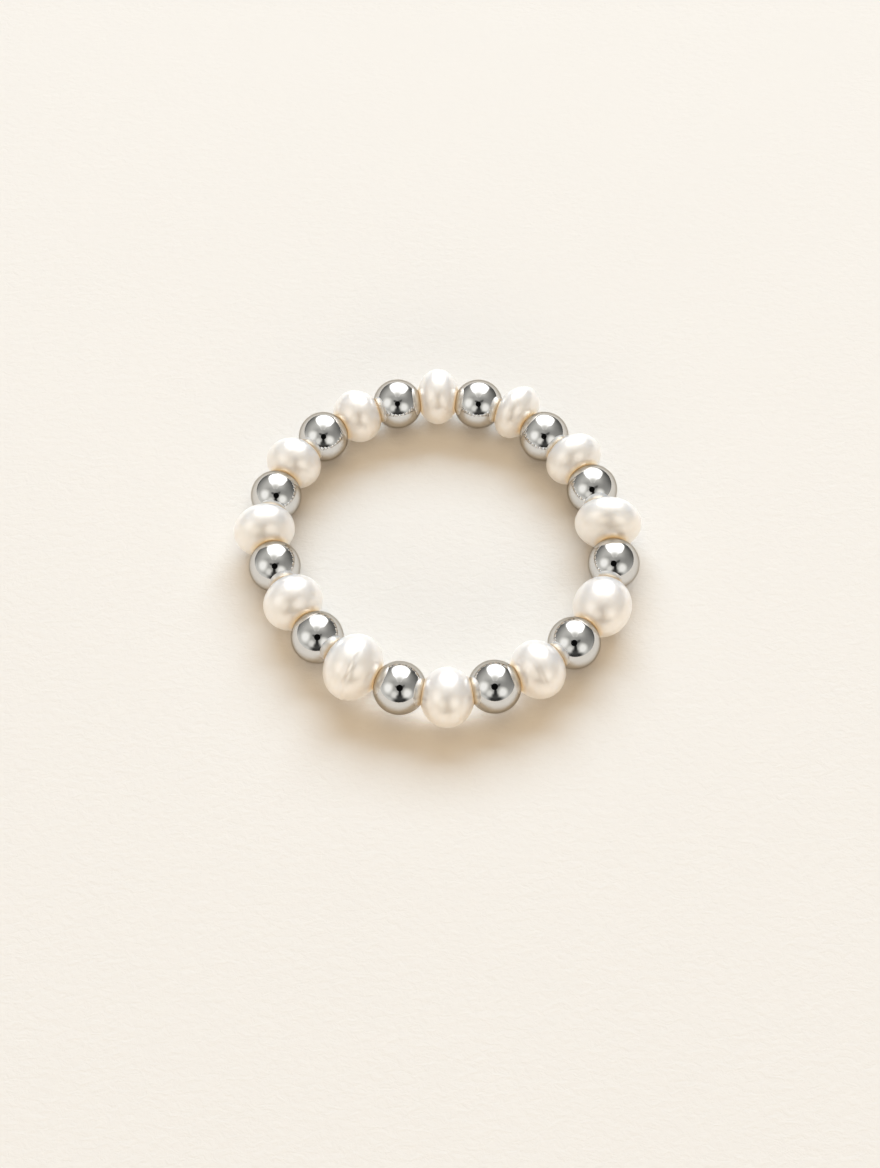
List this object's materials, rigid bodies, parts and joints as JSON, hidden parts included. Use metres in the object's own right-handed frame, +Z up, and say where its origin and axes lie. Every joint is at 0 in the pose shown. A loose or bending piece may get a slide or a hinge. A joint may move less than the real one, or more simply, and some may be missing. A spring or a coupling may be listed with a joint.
{
  "type": "beaded ring",
  "caption": "Stretch finger ring of small freshwater pearls and polished silver balls, threaded by turns on a closed loop of clear elastic, lying on its side.",
  "frame": {"origin": "under the middle of the ring's box, on the surface that the ring lies on", "axes": "+Z is up, out of the plane of the ring and along the finger; +Y points to pearl_bead_01 and +X to the right of it, so the beads are numbered clockwise seen from above"},
  "size_m": [0.0238, 0.024, 0.0039],
  "materials": {
    "silver": "mirror-polished silver",
    "pearl": "lustrous white to cream nacre",
    "elastic": "smooth clear elastic"
  },
  "bodies": {
    "root": {"pearl_bead_01": "pearl", "silver_bead_01": "silver", "pearl_bead_02": "pearl", "silver_bead_02": "silver", "pearl_bead_03": "pearl", "silver_bead_03": "silver", "pearl_bead_04": "pearl", "silver_bead_04": "silver", "pearl_bead_05": "pearl", "silver_bead_05": "silver", "pearl_bead_06": "pearl", "silver_bead_06": "silver", "pearl_bead_07": "pearl", "silver_bead_07": "silver", "pearl_bead_08": "pearl", "silver_bead_08": "silver", "pearl_bead_09": "pearl", "silver_bead_09": "silver", "pearl_bead_10": "pearl", "silver_bead_10": "silver", "pearl_bead_11": "pearl", "silver_bead_11": "silver", "pearl_bead_12": "pearl", "silver_bead_12": "silver", "elastic_thread": "elastic"}
  },
  "joints": []
}
